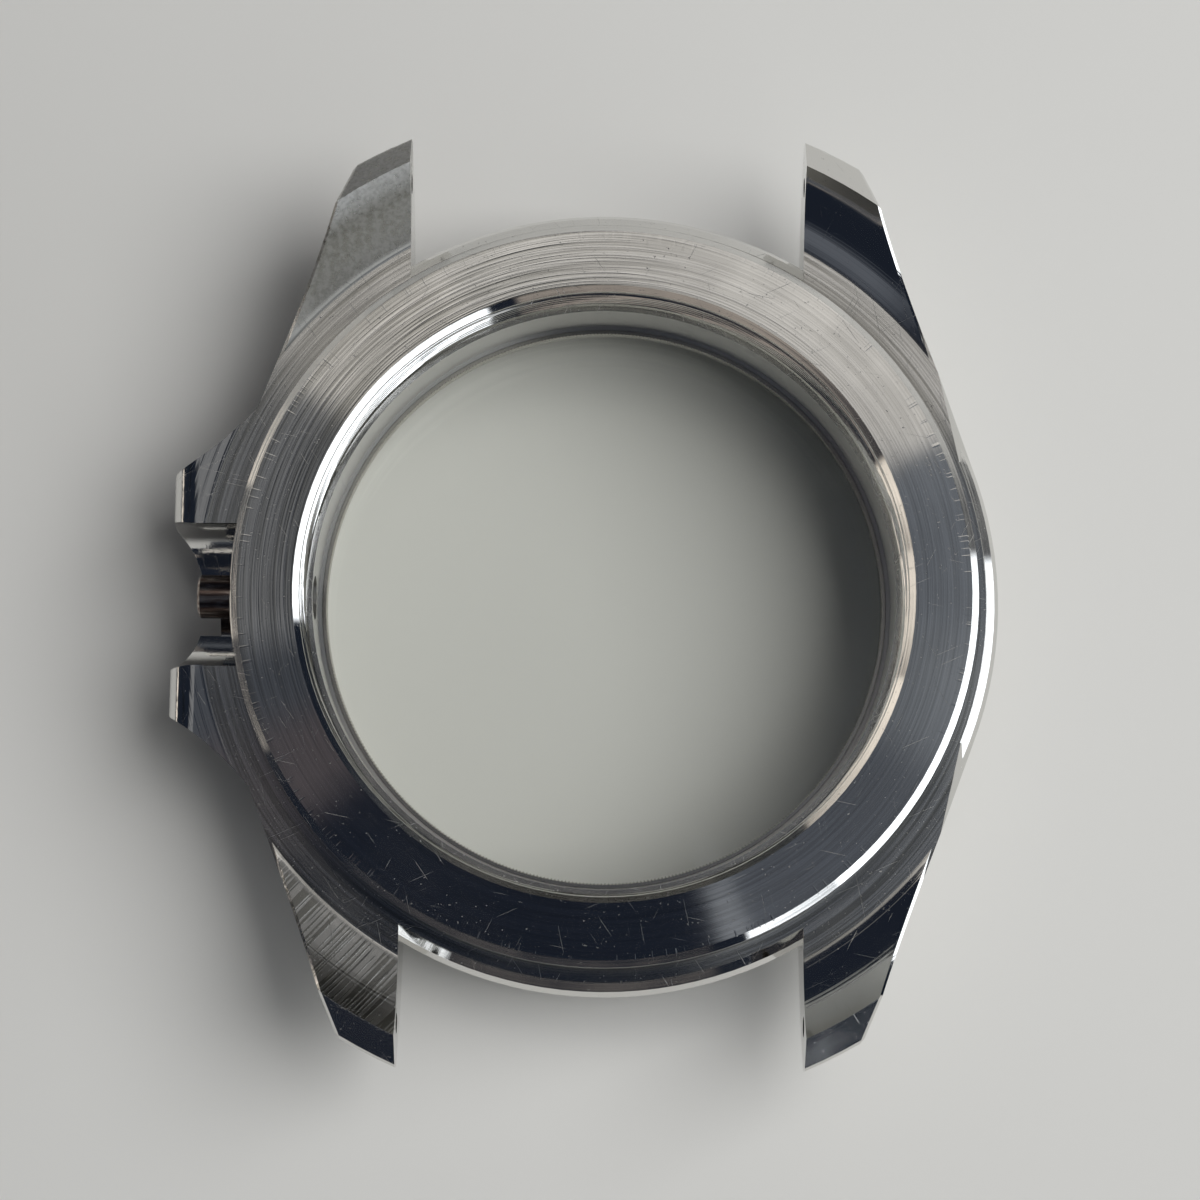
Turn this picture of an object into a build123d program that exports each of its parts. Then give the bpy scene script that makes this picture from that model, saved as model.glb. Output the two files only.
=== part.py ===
"""Empty wristwatch case in stainless steel, with its crystal and crown tube in place.

The frame is in millimetres. Z is the case axis: the crystal's face lies at zero and the
case back screws in from +Z. +Y points to 12 o'clock, and the crown side is at -X.
"""

from build123d import *
import math
import os

# Heights, stacked from the crystal's face to the seat of the case back
crystal_stand = 0.4
bezel_height = 2.4
body_height = 4.4
boss_height = 3.0
front_z = crystal_stand + bezel_height
ledge_z = front_z + body_height
seat_z = ledge_z + boss_height

# Heights of the crystal's seat, the lip round the window and the dial's seat
crystal_thickness = 2.5
lip_thickness = 0.8
rehaut_height = 0.9
lip_z = crystal_thickness + lip_thickness
dial_z = lip_z + rehaut_height

# Back opening and movement cavity; every other ring is stepped in or out from the thread's wall
thread_radius = 15.05
thread_depth = 2.6
entry_chamfer = 0.28
thread_land = 0.45
thread_end_z = seat_z - thread_depth
cavity_radius = thread_radius - thread_land

# Rehaut ring, dropped on the lip round the window
dial_ledge_width = 0.2
rehaut_clearance = 0.03
rehaut_width = 0.3
rehaut_flare = 0.1
rehaut_bore_radius = cavity_radius - dial_ledge_width
rehaut_back_radius = rehaut_bore_radius - rehaut_width
rehaut_front_radius = rehaut_back_radius + rehaut_flare

# Window, crystal and its gasket
window_flare = 0.45
crystal_seat_width = 0.55
crystal_front_chamfer = 0.3
gasket_wall = 0.5
window_flare_radius = rehaut_front_radius + window_flare
crystal_radius = window_flare_radius + crystal_seat_width
crystal_bore_radius = crystal_radius + gasket_wall

# Turned body and the raised boss round the back opening
seat_width = 3.4
ledge_width = 1.4
body_bevel_width = 0.7
body_bevel_height = 0.9
body_bevel_crown = 0.12
front_bevel = 0.2
boss_bevel_width = 0.35
boss_bevel_height = 0.3
boss_radius = thread_radius + seat_width
body_radius = boss_radius + ledge_width
shoulder_radius = body_radius - body_bevel_width

# Bezel and the neck of the mid case that it is pressed on
neck_wall = 1.2
bezel_inset = 0.1
bezel_lip_thickness = 0.35
bezel_lip_clearance = 0.15
bezel_top_width = 0.75
bezel_edge_height = 0.9
neck_radius = crystal_bore_radius + neck_wall
bezel_radius = body_radius - bezel_inset
neck_z = crystal_stand + bezel_lip_thickness
bezel_lip_radius = crystal_bore_radius + bezel_lip_clearance

# Lugs: a turned ring section kept inside the plan outline
strap_gap = 20.0
lug_flank_angle = 21.0
lug_root_depth = 2.85
lug_flat_width = 0.65
lug_rise_width = 3.45
lug_facet_width = 1.45
lug_crest_height = 2.2
lug_rise_start_angle = 11.0
lug_facet_height = 1.25
lug_end_height = 1.15
lug_front_crown = 0.45
lug_tip_round = 0.4
lug_edge_bevel = 0.16
lug_bevel_margin = 0.3
lug_root_radius = body_radius - lug_root_depth
lug_rise_radius = body_radius + lug_flat_width
lug_crest_radius = lug_rise_radius + lug_rise_width
lug_reach = lug_crest_radius + lug_facet_width

# The flank is the line that leaves the body circle at the flank angle and ends where it meets
# the strap gap
flank_normal = (math.cos(math.radians(lug_flank_angle)), math.sin(math.radians(lug_flank_angle)), 0)
lug_root_y = body_radius * flank_normal[1]
lug_apex_y = (body_radius - strap_gap / 2 * flank_normal[0]) / flank_normal[1]

# Blind holes for the spring bars
bar_hole_radius = 0.5
bar_hole_depth = 1.3
bar_hole_stand = 1.35
bar_hole_height = 4.5
bar_hole_y = body_radius + bar_hole_stand
bar_hole_z = front_z + bar_hole_height

# Crown guards and crown recess
guard_stand = 1.95
guard_root_depth = 3.35
guard_half_span = 6.1
guard_sweep_end_y = 9.6
guard_sweep_sagitta = 0.26
guard_corner_fillet = 0.4
guard_back_round = 1.4
guard_step = 0.1
guard_step_width = 0.5
guard_edge_height = 1.1
guard_front_width = 1.05
crown_axis_height = 3.4
recess_radius = 3.75
recess_depth = 1.55
guard_reach = body_radius + guard_stand
guard_root_reach = body_radius - guard_root_depth
recess_floor_reach = body_radius - recess_depth
crown_z = front_z + crown_axis_height

# Crown tube: its free end, a release groove at the recess floor, and the pressed-in length
tube_radius = 1.1
tube_bore_radius = 0.7
tube_stand = 2.1
tube_inset = 2.9
tube_end_chamfer = 0.12
tube_groove_depth = 0.2
tube_groove_stand = 0.2
tube_groove_inset = 0.5

# One overrun for every cut that has to pass right through
overrun = 2.0


def crowned(start, end, crown):
    """Corner of two equal stretches that stand proud on the right of the line from start to end."""
    chord = Vector(*end) - Vector(*start)
    return (Vector(*start) + Vector(*end)) / 2 + chord.rotate(Axis.Z, -90).normalized() * crown


def on_flank(y):
    """Distance of the lug's outer flank from the plane x = 0 at the height y of the plan."""
    return (body_radius - y * flank_normal[1]) / flank_normal[0]


# Turned ring that gives all four lugs their section: flat ledge, hollow rise to the crest,
# tip facet, end wall and a front of two slopes
with BuildPart() as lug_ring:
    crest_z = ledge_z + lug_crest_height
    facet_end_z = crest_z - lug_facet_height
    end_z = facet_end_z - lug_end_height
    lug_front_radius = body_radius - front_bevel
    rise_start_angle = math.radians(lug_rise_start_angle)
    rise_start = (math.cos(rise_start_angle), math.sin(rise_start_angle))
    with BuildSketch(Plane.XZ) as lug_section:
        with BuildLine():
            Polyline(
                (lug_front_radius, front_z),
                (lug_root_radius, front_z),
                (lug_root_radius, ledge_z),
                (lug_rise_radius, ledge_z),
            )
            TangentArc(
                (lug_rise_radius, ledge_z),
                (lug_crest_radius, crest_z),
                tangent=rise_start,
            )
            Polyline(
                (lug_crest_radius, crest_z),
                (lug_reach, facet_end_z),
                (lug_reach, end_z),
                crowned((lug_front_radius, front_z), (lug_reach, end_z), lug_front_crown),
                (lug_front_radius, front_z),
            )
        make_face()
        end_corners = lug_section.vertices().group_by(Axis.X)[-1].sort_by(Axis.Y)
        fillet(end_corners[-1], lug_tip_round)
    revolve(axis=Axis.Z)

# Bevel of the body running out along the flank of the two lugs opposite the crown: a
# three-sided wedge that narrows to a point just before the rise, and stands above the ledge so
# that its cut is a clean one
with BuildPart() as bevel_runout:
    flank_flat_length = math.sqrt(lug_rise_radius**2 - body_radius**2)
    runout_y = lug_root_y + (flank_flat_length - lug_bevel_margin) * flank_normal[0]
    runout_point = Vector(on_flank(runout_y), runout_y, ledge_z)
    with BuildSketch(Plane.XZ.rotated((0, 0, lug_flank_angle))) as runout_section:
        with BuildLine():
            Polyline(
                (shoulder_radius - body_bevel_width, ledge_z + body_bevel_height),
                (body_radius, ledge_z - body_bevel_height),
                (body_radius + overrun, ledge_z + body_bevel_height),
                close=True,
            )
        make_face()
    loft(sections=[runout_section.sketch.face(), Vertex(*runout_point)])
    mirror(about=Plane.XZ)

# One lug: its plan outline intersected with the ring, and a narrow bevel on its outer back edge
# from the foot of the rise to the tip
with BuildPart() as lug:
    with BuildSketch(Plane.XY):
        with BuildLine():
            Polyline(
                (strap_gap / 2, lug_root_y),
                (on_flank(lug_root_y), lug_root_y),
                (strap_gap / 2, lug_apex_y),
                close=True,
            )
        make_face()
    extrude(amount=seat_z)
    add(lug_ring.part, mode=Mode.INTERSECT)
    flank = lug.faces().filter_by(Axis((0, 0, 0), flank_normal))[0]
    slanted_edges = flank.edges().filter_by(Axis.Z, reverse=True)
    back_edges = slanted_edges.filter_by(lambda edge: edge.center().Z > ledge_z + lug_edge_bevel)
    chamfer(back_edges, lug_edge_bevel)

# All four lugs, mirrored from the one
with BuildPart() as lugs:
    add(lug.part)
    mirror(about=Plane.YZ)
    mirror(about=Plane.XZ)
    add(bevel_runout.part, mode=Mode.SUBTRACT)

# Crown guards: plan outline with a hollow sweep into the lug flank, side profile with a rounded
# back edge and a sloping front, and the small step that the turning of the ledge leaves
with BuildPart() as guards:
    with BuildSketch(Plane.XY) as guard_plan:
        with BuildLine():
            Polyline(
                (-guard_root_reach, 0),
                (-guard_reach, 0),
                (-guard_reach, guard_half_span),
            )
            SagittaArc(
                (-guard_reach, guard_half_span),
                (-on_flank(guard_sweep_end_y), guard_sweep_end_y),
                -guard_sweep_sagitta,
            )
            Polyline(
                (-on_flank(guard_sweep_end_y), guard_sweep_end_y),
                (-guard_root_reach, guard_sweep_end_y),
                (-guard_root_reach, 0),
            )
        make_face()
        fillet(guard_plan.vertices().group_by(Axis.X)[0].sort_by(Axis.Y)[-1], guard_corner_fillet)
        mirror(about=Plane.XZ)
    guard_z = ledge_z + guard_step
    extrude(amount=guard_z)
    guard_round_reach = guard_reach - guard_back_round
    guard_flat_z = guard_z - guard_back_round
    with BuildSketch(Plane.XZ):
        with BuildLine():
            Line((-guard_root_reach, guard_z), (-guard_round_reach, guard_z))
            RadiusArc(
                (-guard_round_reach, guard_z),
                (-guard_reach, guard_flat_z),
                -guard_back_round,
            )
            Polyline(
                (-guard_reach, guard_flat_z),
                (-guard_reach, guard_flat_z - guard_edge_height),
                (guard_front_width - guard_reach, front_z),
                (-guard_root_reach, front_z),
                (-guard_root_reach, guard_z),
            )
        make_face()
    extrude(amount=guard_sweep_end_y, both=True, mode=Mode.INTERSECT)
    with BuildSketch(Plane.XY.offset(ledge_z)):
        Circle(body_radius + guard_step_width)
    extrude(amount=overrun, mode=Mode.SUBTRACT)

# Mid case: the turned body with its opening, then lugs and guards, then the crown side cuts
with BuildPart() as mid_case:
    with BuildSketch(Plane.XZ):
        with BuildLine():
            Polyline(
                (window_flare_radius, crystal_thickness),
                (crystal_bore_radius, crystal_thickness),
                (crystal_bore_radius, neck_z),
                (neck_radius, neck_z),
                (neck_radius, front_z),
                (body_radius - front_bevel, front_z),
                (body_radius, front_z + front_bevel),
                (body_radius, ledge_z - body_bevel_height),
                crowned(
                    (body_radius, ledge_z - body_bevel_height),
                    (shoulder_radius, ledge_z),
                    body_bevel_crown,
                ),
                (shoulder_radius, ledge_z),
                (boss_radius, ledge_z),
                (boss_radius, seat_z - boss_bevel_height),
                (boss_radius - boss_bevel_width, seat_z),
                (thread_radius + entry_chamfer, seat_z),
                (thread_radius, seat_z - entry_chamfer),
                (thread_radius, thread_end_z),
                (cavity_radius, thread_end_z),
                (cavity_radius, dial_z),
                (rehaut_bore_radius, dial_z),
                (rehaut_bore_radius, lip_z),
                (rehaut_front_radius, lip_z),
                close=True,
            )
        make_face()
    revolve(axis=Axis.Z)
    add(lugs.part)
    add(guards.part)
    with BuildSketch(Plane.YZ.offset(-recess_floor_reach)):
        with Locations((0, crown_z)):
            Circle(recess_radius)
    extrude(amount=recess_floor_reach - guard_reach - overrun, mode=Mode.SUBTRACT)
    with BuildSketch(Plane.YZ.offset(-recess_floor_reach)):
        with Locations((0, crown_z)):
            Circle(tube_radius)
    extrude(amount=recess_floor_reach - cavity_radius + overrun, mode=Mode.SUBTRACT)
    for side in (1, -1):
        with BuildSketch(Plane.YZ.offset(side * strap_gap / 2)):
            with Locations((bar_hole_y, bar_hole_z), (-bar_hole_y, bar_hole_z)):
                Circle(bar_hole_radius)
        extrude(amount=side * bar_hole_depth, mode=Mode.SUBTRACT)

# Crown tube: chamfered at its free end, grooved where it enters the case wall, then bored
with BuildPart() as crown_tube:
    tube_length = tube_stand + tube_inset
    with BuildSketch(Plane.YZ.offset(-recess_floor_reach - tube_stand)):
        with Locations((0, crown_z)):
            Circle(tube_radius)
    extrude(amount=tube_length)
    free_rim = crown_tube.edges().filter_by(GeomType.CIRCLE).sort_by(Axis.X)[0]
    chamfer(free_rim, tube_end_chamfer)
    with BuildSketch(Plane.YZ.offset(-recess_floor_reach - tube_groove_stand)):
        with Locations((0, crown_z)):
            Circle(tube_radius)
            Circle(tube_radius - tube_groove_depth, mode=Mode.SUBTRACT)
    extrude(amount=tube_groove_stand + tube_groove_inset, mode=Mode.SUBTRACT)
    with BuildSketch(Plane.YZ.offset(-recess_floor_reach - tube_stand)):
        with Locations((0, crown_z)):
            Circle(tube_bore_radius)
    extrude(amount=tube_length, mode=Mode.SUBTRACT)

# Rehaut ring: a narrow turned ring that the dial presses on its lip
with BuildPart() as rehaut_ring:
    rehaut_radius = rehaut_bore_radius - rehaut_clearance
    with BuildSketch(Plane.XZ):
        with BuildLine():
            Polyline(
                (rehaut_front_radius, lip_z),
                (rehaut_radius, lip_z),
                (rehaut_radius, dial_z),
                (rehaut_back_radius, dial_z),
                close=True,
            )
        make_face()
    revolve(axis=Axis.Z)

# Crystal: a flat disc with a polished bevel at its front edge
with BuildPart() as crystal:
    with BuildSketch(Plane.XY):
        Circle(crystal_radius)
    extrude(amount=crystal_thickness)
    chamfer(crystal.edges().sort_by(Axis.Z)[0], crystal_front_chamfer)

# Crystal gasket: a plain ring squeezed between the crystal and its bore
with BuildPart() as crystal_gasket:
    with BuildSketch(Plane.XY.offset(neck_z)):
        Circle(crystal_bore_radius)
        Circle(crystal_radius, mode=Mode.SUBTRACT)
    extrude(amount=crystal_thickness - neck_z)

# Bezel: a polished ring with a sloping front, pressed on the neck of the mid case
with BuildPart() as bezel:
    bezel_flat_radius = bezel_lip_radius + bezel_top_width
    with BuildSketch(Plane.XZ):
        with BuildLine():
            Polyline(
                (bezel_flat_radius, crystal_stand),
                (bezel_lip_radius, crystal_stand),
                (bezel_lip_radius, neck_z),
                (neck_radius, neck_z),
                (neck_radius, front_z),
                (bezel_radius, front_z),
                (bezel_radius, front_z - bezel_edge_height),
                close=True,
            )
        make_face()
    revolve(axis=Axis.Z)

os.makedirs("parts", exist_ok=True)
pieces = {
    "mid_case": mid_case,
    "crown_tube": crown_tube,
    "rehaut_ring": rehaut_ring,
    "crystal": crystal,
    "crystal_gasket": crystal_gasket,
    "bezel": bezel,
}
for label, piece in pieces.items():
    piece.part.label = label
    export_step(piece.part, f"parts/{label}.step")
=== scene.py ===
"""Empty wristwatch case lying face down on a pale studio floor, seen from its open back.

The frame is the CAD part's, in metres: Z is the case axis, +Y points to 12 o'clock and the crown
side is at -X. The crystal's outer face lies on the floor at zero. Sizes on the pieces are
written in millimetres, and those of the studio in metres. North is +Y and east is +X, and
bearings are in degrees from east towards north.
"""

import math

import bpy
import numpy as np
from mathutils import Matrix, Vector


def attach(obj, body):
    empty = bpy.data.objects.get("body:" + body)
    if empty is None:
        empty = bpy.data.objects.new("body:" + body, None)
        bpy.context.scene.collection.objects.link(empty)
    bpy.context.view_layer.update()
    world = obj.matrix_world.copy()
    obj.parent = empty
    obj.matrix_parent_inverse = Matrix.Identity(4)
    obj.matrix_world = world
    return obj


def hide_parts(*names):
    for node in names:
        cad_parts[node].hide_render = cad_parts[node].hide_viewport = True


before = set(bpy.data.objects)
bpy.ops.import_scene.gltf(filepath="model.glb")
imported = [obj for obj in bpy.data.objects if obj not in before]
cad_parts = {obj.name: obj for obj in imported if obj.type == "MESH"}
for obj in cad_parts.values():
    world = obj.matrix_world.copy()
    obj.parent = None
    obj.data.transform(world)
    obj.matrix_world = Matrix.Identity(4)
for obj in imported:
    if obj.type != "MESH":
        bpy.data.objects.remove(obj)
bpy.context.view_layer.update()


# Mid case. One forging of stainless steel, turned on a lathe and milled at the crown side.
# The seat and ledge keep their turning lines, the bevels are polished, and all of it is
# scratched by handling.

mm = 0.001
seat_height, ledge_height, bevel_foot_height, thread_end_height = 10.2, 7.2, 9.9, 7.6
cavity_radius, boss_radius, body_radius, lug_crest_radius = 14.6, 18.45, 19.85, 23.95


def linear(hex_code):
    """Turns an sRGB hex colour into linear RGBA: each channel by the sRGB transfer curve."""
    channels = [int(hex_code[i:i + 2], 16) / 255 for i in (1, 3, 5)]
    return [c / 12.92 if c <= 0.04045 else ((c + 0.055) / 1.055) ** 2.4 for c in channels] + [1.0]


def add(tree, kind, inputs=(), output=0, **settings):
    """Adds a node with its settings, gives its inputs values or links, in their order or by name,
    and returns one of its outputs."""
    node = tree.nodes.new(kind)
    for name, value in settings.items():
        setattr(node, name, value)
    if not isinstance(inputs, dict):
        inputs = dict(enumerate(inputs))
    for key, value in inputs.items():
        if isinstance(value, bpy.types.NodeSocket):
            tree.links.new(value, node.inputs[key])
        else:
            node.inputs[key].default_value = value
    return node.outputs[output] if node.outputs else None


def new_material(name, **sockets):
    """A material with one Principled shader wired to its output, and the shader's constants."""
    material = bpy.data.materials.new(name)
    material.use_nodes = True
    tree = material.node_tree
    tree.nodes.clear()
    surface = add(tree, "ShaderNodeBsdfPrincipled", sockets)
    add(tree, "ShaderNodeOutputMaterial", {"Surface": surface})
    return material


def zone(tree, *limits):
    """One inside a zone and zero outside: the product of its limits, each a value that eases from
    zero at its start to one at its end."""
    inside = 1.0
    for value, start, end in limits:
        eased = add(tree, "ShaderNodeMapRange", {"Value": value, "From Min": start, "From Max": end},
                    interpolation_type="SMOOTHSTEP")
        inside = add(tree, "ShaderNodeMath", (inside, eased), operation="MULTIPLY")
    return inside


def layered(tree, base, *layers):
    """A base plus the sum of its layers, each the product of two or three factors."""
    for value, *regions, amount in layers:
        for region in regions:
            value = add(tree, "ShaderNodeMath", (value, region), operation="MULTIPLY")
        base = add(tree, "ShaderNodeMath", (value, amount, base), operation="MULTIPLY_ADD")
    return base


def turned_coordinates(tree):
    """Millimetre coordinates of a turned part: point, height, radius and direction from the axis."""
    place = add(tree, "ShaderNodeTexCoord", output="Object")
    point = add(tree, "ShaderNodeVectorMath", {0: place, "Scale": 1 / mm}, operation="SCALE")
    flat = add(tree, "ShaderNodeVectorMath", (point, (1, 1, 0)), operation="MULTIPLY")
    radius = add(tree, "ShaderNodeVectorMath", (flat,), output="Value", operation="LENGTH")
    around = add(tree, "ShaderNodeVectorMath", (flat,), operation="NORMALIZE")
    height = add(tree, "ShaderNodeSeparateXYZ", (point,), output=2)
    return point, height, radius, around


def towards(tree, direction, bearing):
    """How far a direction points to a bearing: the cosine of the angle between them."""
    aim = (math.cos(math.radians(bearing)), math.sin(math.radians(bearing)), 0)
    return add(tree, "ShaderNodeVectorMath", (direction, aim), output="Value", operation="DOT_PRODUCT")


def turning_lines(tree, radius, height, around, pitch, arc):
    """Noise drawn out round the axis, with lines pitch apart that keep their tone for arc, both in
    mm, at a radius of 18 mm: its place is the direction from the axis, the height and the radius."""
    swept = add(tree, "ShaderNodeVectorMath", {0: around, "Scale": 18 / arc}, operation="SCALE")
    lift = add(tree, "ShaderNodeMath", (height, pitch), operation="DIVIDE")
    spot = add(tree, "ShaderNodeVectorMath", (swept, add(tree, "ShaderNodeCombineXYZ", {2: lift})))
    across = add(tree, "ShaderNodeMath", (radius, pitch), operation="DIVIDE")
    return add(tree, "ShaderNodeTexNoise", {"Vector": spot, "W": across, "Scale": 1.0, "Detail": 2.0},
               noise_dimensions="4D")


def straight_marks(tree, point, angle, length, width, rarity):
    """Straight scratches at one angle in degrees: noise drawn out to their length and width in mm,
    moved by the angle so that no two directions share it, and kept above the rarity."""
    turned = add(tree, "ShaderNodeMapping", {
        "Vector": point, "Rotation": (0, 0, math.radians(angle)), "Location": (angle, 2.0 * angle, 0)})
    drawn = add(tree, "ShaderNodeVectorMath", (turned, (1 / length, 1 / width, 0.2)), operation="MULTIPLY")
    spread = add(tree, "ShaderNodeTexNoise", {"Vector": drawn, "Scale": 1.0, "Detail": 0.0})
    return zone(tree, (spread, rarity, rarity + 0.05))


def dress(piece, material):
    """Puts one material on a piece or a CAD node."""
    piece.data.materials.clear()
    piece.data.materials.append(material)


# The turning lines spread a reflection across them and hardly along them, so the shader is
# anisotropic, with its tangent round the axis and turned by a quarter
steel = new_material("turned_stainless_steel", **{
    "Metallic": 1.0, "Anisotropic": 0.9, "Anisotropic Rotation": 0.25})
tree = steel.node_tree
shader = tree.nodes["Principled BSDF"].inputs
point, height, radius, around = turned_coordinates(tree)
tangent = add(tree, "ShaderNodeVectorMath", ((0, 0, 1), around), operation="CROSS_PRODUCT")
tree.links.new(tangent, shader["Tangent"])

# Marks: turning lines, dull patches, pits and scratches of handling, one lug's lines of grinding
# by hand, and radial hairs about 0.17 mm apart at the seat's rim. Turning lines are drawn 0.11 mm
# apart and scratches 0.03 mm wide, coarser than real ones, which would not show. The streaks on
# the lugs' rise take the radius for the height too, so that the slope doesn't change them
fine_lines = turning_lines(tree, radius, height, around, pitch=0.11, arc=9.0)
broad_lines = turning_lines(tree, radius, height, around, pitch=0.45, arc=14.0)
streaks = turning_lines(tree, radius, radius, around, pitch=0.25, arc=30.0)
patches = add(tree, "ShaderNodeTexNoise", {"Vector": point, "Scale": 0.25, "Detail": 2.0})
mottle = add(tree, "ShaderNodeTexNoise", {"Vector": point, "Scale": 3.2, "Detail": 6.0})
pits = add(tree, "ShaderNodeTexNoise", {"Vector": point, "Scale": 7.0, "Detail": 1.0})
marks = zone(tree, (pits, 0.72, 0.78))
for angle, length in ((12, 3.0), (55, 2.5), (78, 3.0), (118, 2.0), (156, 3.5)):
    scratches = straight_marks(tree, point, angle, length, width=0.03, rarity=0.84)
    marks = add(tree, "ShaderNodeMath", (marks, scratches), operation="MAXIMUM")
ground = straight_marks(tree, point, angle=-48, length=5.0, width=0.12, rarity=0.5)
spokes = add(tree, "ShaderNodeVectorMath", {0: around, "Scale": 110.0}, operation="SCALE")
hairs = add(tree, "ShaderNodeTexNoise", {"Vector": spokes, "Scale": 1.0, "Detail": 1.0})
hairs = zone(tree, (hairs, 0.6, 0.7))

# Regions of the case, by height and radius and by the bearing of the side they are on
seat_side = (height, seat_height - 0.05, seat_height - 0.01)
above_ledge = (height, ledge_height + 0.02, ledge_height + 0.1)
lug_side = (radius, body_radius + 0.45, body_radius + 0.75)
frayed_radius = add(tree, "ShaderNodeMath", (radius, patches))
on_seat = zone(tree, seat_side)
at_rim = zone(tree, seat_side, (frayed_radius, boss_radius - 0.35, boss_radius + 0.05))
brushed = zone(tree, (towards(tree, around, 140), 0.2, 0.9))
on_ledge = zone(tree, (radius, boss_radius - 0.05, boss_radius + 0.05),
                (height, ledge_height + 0.04, ledge_height + 0.01),
                (height, ledge_height - 0.05, ledge_height - 0.01))
on_boss_wall = zone(tree, above_ledge, (height, bevel_foot_height - 0.02, bevel_foot_height - 0.06),
                    (radius, boss_radius - 0.10, boss_radius - 0.03),
                    (radius, boss_radius + 0.15, boss_radius + 0.05))
in_cavity = zone(tree, (radius, cavity_radius + 0.3, cavity_radius + 0.2),
                 (height, thread_end_height + 0.02, thread_end_height - 0.02))
on_lug = zone(tree, above_ledge, lug_side)
on_rise = zone(tree, above_ledge, lug_side, (radius, lug_crest_radius - 0.55, lug_crest_radius - 1.35))
scuffed = zone(tree, above_ledge, lug_side, (towards(tree, around, 118), 0.9, 0.97))
hand_ground = zone(tree, above_ledge, lug_side, (towards(tree, around, -118), 0.9, 0.97),
                   (radius, lug_crest_radius + 0.1, lug_crest_radius - 0.1))

# Each kind of mark times its region and its depth in thousandths of a millimetre
relief = layered(
    tree, 0.0,
    (fine_lines, 1.2),
    (fine_lines, brushed, 3.5),
    (fine_lines, on_ledge, 3.0),
    (broad_lines, 1.5),
    (streaks, on_rise, 8.0),
    (ground, hand_ground, 9.0),
    (mottle, scuffed, 9.0),
    (hairs, at_rim, 1.5),
    (marks, -0.8))
normal = add(tree, "ShaderNodeBump", {"Strength": 1.0, "Distance": 0.001 * mm, "Height": relief})
tree.links.new(normal, shader["Normal"])
rough = layered(
    tree, 0.06,
    (zone(tree, (patches, 0.35, 0.65)), 0.03),
    (marks, 0.2),
    (on_ledge, 0.08),
    (on_boss_wall, 0.30),
    (in_cavity, 0.24),
    (scuffed, 0.02),
    (scuffed, mottle, 0.5),
    (hand_ground, 0.08),
    (on_lug, -0.02))
tree.links.new(rough, shader["Roughness"])

# The lines' own slopes are finer than a pixel, so part of their light and dark is in the colour
lined = layered(tree, 0.0, (on_seat, 0.35), (on_seat, brushed, 0.6))
lined = add(tree, "ShaderNodeMath", (on_ledge, lined), operation="MAXIMUM")
line_tone = layered(tree, 0.0, (fine_lines, 0.8), (broad_lines, 0.2))
bright = layered(
    tree, 1.0,
    (lined, zone(tree, (line_tone, 0.64, 0.36)), -1.0),
    (hand_ground, ground, -1.5),
    (scuffed, zone(tree, (mottle, 0.68, 0.34)), -0.9),
    # painted shade: the boss wall, the step up from the ledge to the seat, is painted dark
    (on_boss_wall, -1.0))
tint = add(tree, "ShaderNodeMix", {"Factor": bright, "A": linear("#aaa9a4"), "B": linear("#dfdedb")},
           output="Result", data_type="RGBA")
tree.links.new(tint, shader["Base Color"])
dress(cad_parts["mid_case"], steel)


# Thread of the back opening. Fine ridges cut in the wall, one start, with a run-out at
# both ends. The steel is the case's own.

def turned_ring(name, radii, heights):
    """Closed ring: for each step round the axis a closed loop of (radius, height) points, given
    anticlockwise, is placed at its angle, and neighbouring loops are joined by four-sided faces."""
    steps, points = radii.shape
    angle = np.linspace(0, 2 * np.pi, steps, endpoint=False)[:, None]
    corners = np.stack([radii * np.cos(angle), radii * np.sin(angle), heights + 0 * angle], axis=-1)
    here = np.arange(steps * points).reshape(steps, points)
    after = np.roll(here, -1, axis=0)
    faces = np.stack([here, after, np.roll(after, -1, axis=1), np.roll(here, -1, axis=1)], axis=-1)
    mesh = bpy.data.meshes.new(name)
    mesh.from_pydata(corners.reshape(-1, 3) * mm, [], faces.reshape(-1, 4).tolist())
    mesh.shade_smooth()
    mesh.set_sharp_from_angle(angle=math.radians(35))
    piece = bpy.data.objects.new(name, mesh)
    bpy.context.scene.collection.objects.link(piece)
    return piece


# The inner radius follows a zigzag over the height that climbs one pitch a turn. The zigzag is
# stretched a little and cut off, which leaves a narrow flat on each crest and root. The backing
# sinks the outer radius into the case
thread_wall, thread_crest, thread_pitch = 15.05, 14.9, 0.35
thread_low, thread_high, run_out_length = 7.65, 9.9, 0.2
flat_stretch, flat_shift = 1.17, 0.085
backing = 0.03
rise = np.linspace(thread_low, thread_high, 79)[None, :]
turn = np.linspace(0, 1, 400, endpoint=False)[:, None]
phase = (rise - thread_low) / thread_pitch - turn
ridge = 1 - np.abs(2 * (phase - np.floor(phase)) - 1)
ridge = np.clip(flat_stretch * ridge - flat_shift, 0, 1)
run_out = np.clip(np.minimum(rise - thread_low, thread_high - rise) / run_out_length, 0, 1)
inner = thread_wall - (thread_wall - thread_crest) * ridge * run_out
outer_radii = np.full((len(turn), 2), thread_wall + backing)
loop_radii = np.concatenate([outer_radii, inner[:, ::-1]], axis=1)
loop_heights = np.concatenate([[thread_low, thread_high], rise[0, ::-1]])[None, :]
thread = turned_ring("back_thread", loop_radii, np.broadcast_to(loop_heights, loop_radii.shape))
dress(thread, steel)
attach(thread, "root")


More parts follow.
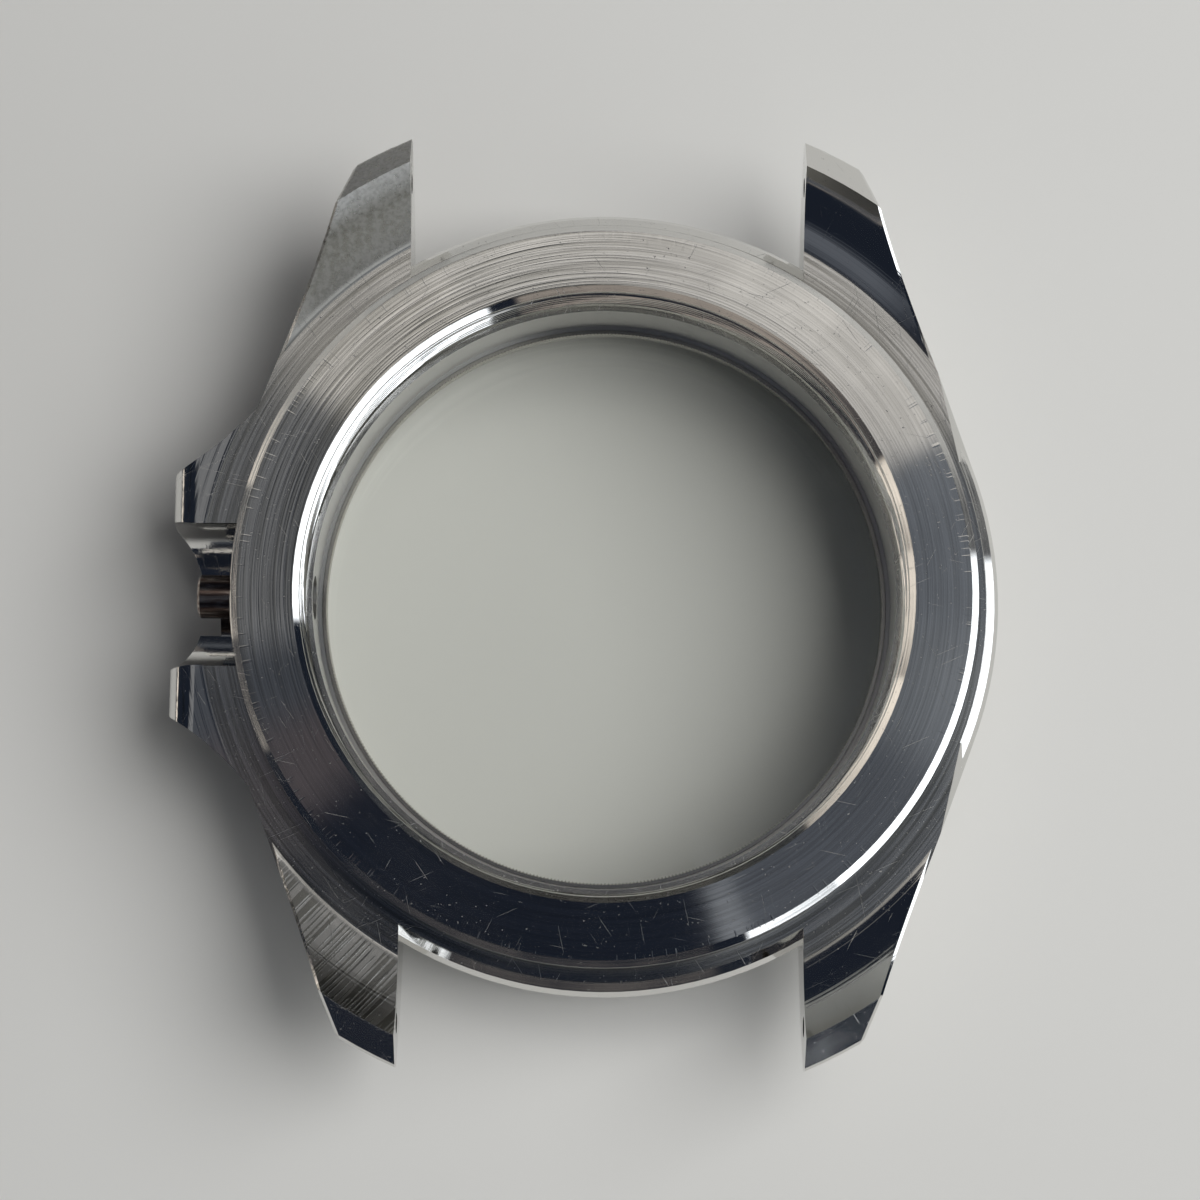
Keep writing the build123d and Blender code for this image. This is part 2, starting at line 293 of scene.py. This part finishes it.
# Crown tube. A thin turned steel tube, pressed into the case wall. The sealing compound
# stained it brown in streaks along it, about 1.1 mm long and 0.2 mm wide.
tube_steel = new_material("stained_tube_steel", **{"Metallic": 1.0, "Roughness": 0.25})
tree = tube_steel.node_tree
place = add(tree, "ShaderNodeTexCoord", output="Object")
streaked = add(tree, "ShaderNodeVectorMath", (place, (900, 5000, 5000)), operation="MULTIPLY")
stain = add(tree, "ShaderNodeTexNoise", {"Vector": streaked, "Scale": 1.0, "Detail": 2.0})
clean = zone(tree, (stain, 0.4, 0.6))
tint = add(tree, "ShaderNodeMix", {"Factor": clean, "A": linear("#6f5f58"), "B": linear("#a89f98")},
           output="Result", data_type="RGBA")
tree.links.new(tint, tree.nodes["Principled BSDF"].inputs["Base Color"])
dress(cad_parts["crown_tube"], tube_steel)


# Rehaut ring. A narrow steel ring on the dial ledge, turned to a satin finish that blurs what
# it mirrors, with fine teeth cut in its inner edge. It stands for the CAD node.

# The section is a loop of (radius, height) points. Round the axis its inner radii follow a
# zigzag, one tooth in six steps, each point by its own depth
teeth, tooth_steps = 490, 6
section = np.array([(14.20, 3.30), (14.37, 3.30), (14.37, 4.20), (14.22, 4.20),
                    (14.16, 4.20), (14.10, 4.12), (14.10, 3.98), (14.14, 3.72)])
tooth_depths = np.array([0, 0, 0, 0, 0.07, 0.09, 0.07, 0])
zigzag = np.abs(2 * np.modf(np.arange(teeth * tooth_steps) / tooth_steps)[0] - 1)[:, None]
toothed_radii = section[:, 0] + tooth_depths * zigzag
ring = turned_ring("toothed_rehaut_ring", toothed_radii, np.broadcast_to(section[:, 1], toothed_radii.shape))
ring_steel = new_material("satin_stainless_steel", **{
    "Base Color": linear("#cfccc6"), "Metallic": 1.0, "Roughness": 0.22})
dress(ring, ring_steel)
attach(ring, "root")
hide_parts("rehaut_ring")


# Crystal and gasket. A clear disc of mineral glass with polished faces, pressed into its bore
# in a ring of moulded nylon, which is milky and half matt. Shadow and diffuse rays pass the
# glass almost untinted, so that the floor under it is lit.
glass = new_material("mineral_glass", **{
    "Base Color": linear("#fdfdfc"), "Roughness": 0.0, "Transmission Weight": 1.0, "IOR": 1.52})
tree = glass.node_tree
clear = add(tree, "ShaderNodeBsdfTransparent", {"Color": linear("#fafbf9")})
shadow_ray = add(tree, "ShaderNodeLightPath", output="Is Shadow Ray")
diffuse_ray = shadow_ray.node.outputs["Is Diffuse Ray"]
lighting = add(tree, "ShaderNodeMath", (shadow_ray, diffuse_ray), operation="MAXIMUM")
polished_glass = tree.nodes["Principled BSDF"].outputs["BSDF"]
both = add(tree, "ShaderNodeMixShader", (lighting, polished_glass, clear))
tree.links.new(both, tree.nodes["Material Output"].inputs["Surface"])
dress(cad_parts["crystal"], glass)
nylon = new_material("moulded_nylon", **{"Base Color": linear("#d9dad4"), "Roughness": 0.4, "IOR": 1.53})
dress(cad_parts["crystal_gasket"], nylon)


# Bezel. A solid ring of the same steel, turned and pressed on the front of the case. Its
# mirror polish keeps what it shows sharp.
polished_steel = new_material("mirror_polished_steel", **{
    "Base Color": linear("#cfcdc9"), "Metallic": 1.0, "Roughness": 0.07})
dress(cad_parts["bezel"], polished_steel)


# Studio. A pale matt floor, under a room that is light to the north, has a window low in
# the south-east and is dark to the south and west. The floor lies 0.03 mm under the glass,
# so that the two faces don't coincide.
floor_mesh = bpy.data.meshes.new("floor")
half = 1.5
sunk = -0.00003
floor_corners = [(-half, -half, sunk), (half, -half, sunk), (half, half, sunk), (-half, half, sunk)]
floor_mesh.from_pydata(floor_corners, [], [(0, 1, 2, 3)])
floor = bpy.data.objects.new("floor", floor_mesh)
bpy.context.scene.collection.objects.link(floor)
dress(floor, new_material("pale_paper", **{"Base Color": linear("#e2e1dd"), "Roughness": 0.9}))

world = bpy.data.worlds.new("studio")
bpy.context.scene.world = world
world.use_nodes = True
tree = world.node_tree
tree.nodes.clear()
direction = add(tree, "ShaderNodeTexCoord", output="Generated")
skyward = add(tree, "ShaderNodeSeparateXYZ", (direction,), output=2)

# Bearings are taken round the direction that a level surface mirrors to the camera, as far north
# of overhead as the camera leans, so that each panel ends on a straight line across the turned
# rings. Close to that direction the glass would mirror the panels, so they fade out there
lean = math.radians(8)
centred = add(tree, "ShaderNodeVectorMath", (direction, (0, math.sin(lean), 0)), operation="SUBTRACT")
level = add(tree, "ShaderNodeVectorMath", (centred, (1, 1, 0)), operation="MULTIPLY")
sideways = add(tree, "ShaderNodeVectorMath", (level,), operation="NORMALIZE")
apart = add(tree, "ShaderNodeVectorMath", (level,), output="Value", operation="LENGTH")
beyond_glass = zone(tree, (apart, math.sin(math.radians(4.4)), math.sin(math.radians(5.8))))


def panel(start, end, low, high, soft):
    """One inside a panel of the room and zero outside, eased over the soft angle at its edges. It
    spans bearings from start to end and elevations from low to high, all in degrees, and has
    no upper edge where it reaches 90."""
    edge = math.sin(math.radians(soft))
    limits = [(towards(tree, sideways, start + 90), -edge, edge),
              (towards(tree, sideways, end - 90), -edge, edge)]
    for elevation, inwards in ((low, soft), (high, -soft)):
        if elevation < 90:
            limits.append((skyward, math.sin(math.radians(elevation - inwards)),
                           math.sin(math.radians(elevation + inwards))))
    return zone(tree, *limits)


light = add(tree, "ShaderNodeCombineColor", (0.012, 0.016, 0.026))
for start, end, low, high, soft, strength, colour in (
        (24, 120, 66, 90, 2, 0.84, "#fffbf5"),      # pale ceiling to the north
        (119, 147, 66, 90, 3, 0.80, "#fffaf2"),
        (147, 190, 66, 90, 3, 0.19, "#ffffff"),     # grey ceiling to the west
        (188, 203, 66, 90, 4, 0.07, "#f0f6ff"),
        (203, 218, 66, 90, 4, 0.085, "#ffeae6"),
        (289, 294, 20, 90, 1, 0.28, "#f0f6ff"),     # light strip at the end of the dark south
        (294, 332, 66, 90, 2, 0.12, "#e4ecfa"),     # grey ceiling to the east
        (332, 384, 66, 90, 3, 0.21, "#ecf4ff"),
        (225, 262, 58, 76, 7, 0.14, "#dfe6f2"),     # faint light high in the south-west
        (20, 75, 12, 66, 6, 0.20, "#fdfaf3"),       # light wall to the north-east
        (60, 112, -10, 14, 4, 0.12, "#fff2e2"),     # foot of the wall to the north
        (288, 352, 24, 78, 6, 0.40, "#f6f6ee"),     # grey wall above the window
        (293, 364, 8.5, 21, 0.7, 2.40, "#f4f9ff"),  # window low in the south-east
        (309, 366, 0, 9, 1, 2.40, "#f4f9ff"),
        (131, 164, 0, 6, 1, 1.20, "#fff4e6"),       # low light wall to the west
        (164, 188, 4, 9, 1, 1.20, "#fff4e6"),
        (188, 206, 7, 11, 1, 1.20, "#fff4e6"),
        (205, 287, 11.5, 16, 1, 0.40, "#fff0e0")):  # beige strip low in the south
    shown = layered(tree, 0.0, (panel(start, end, low, high, soft), beyond_glass, strength))
    patch = add(tree, "ShaderNodeVectorMath", {0: linear(colour)[:3], "Scale": shown}, operation="SCALE")
    light = add(tree, "ShaderNodeVectorMath", (light, patch))
add(tree, "ShaderNodeOutputWorld", {"Surface": add(tree, "ShaderNodeBackground", {"Color": light})})

# A soft lamp high in the east gives the case its shadow. The steel and the glass would show it
# as a bright square, so it is hidden from mirrored and refracted rays
lamp_data = bpy.data.lights.new("soft_lamp", "AREA")
lamp_data.shape = "RECTANGLE"
lamp_data.size = 0.4
lamp_data.size_y = 0.4
lamp_data.energy = 2.2
lamp = bpy.data.objects.new("soft_lamp", lamp_data)
bpy.context.scene.collection.objects.link(lamp)
lamp.location = (0.30, 0.06, 0.42)
lamp.rotation_euler = (-lamp.location).to_track_quat("-Z", "Y").to_euler()
lamp.visible_glossy = False
lamp.visible_transmission = False

# Camera: the photograph's view, leaning towards 6 o'clock, 150 mm from the middle of the seat
camera_data = bpy.data.cameras.new("camera")
camera_data.lens = 91.6
camera_data.sensor_width = 36.0
camera_data.clip_start = 0.01
camera = bpy.data.objects.new("camera", camera_data)
bpy.context.scene.collection.objects.link(camera)
distance = 0.150
camera.location = (0.0, -distance * math.sin(lean), seat_height * mm + distance * math.cos(lean))
target = Vector((-0.0002, -0.00052, seat_height * mm))
camera.rotation_euler = (target - camera.location).to_track_quat("-Z", "Y").to_euler()
bpy.context.scene.camera = camera

bpy.context.scene.view_settings.view_transform = "Standard"
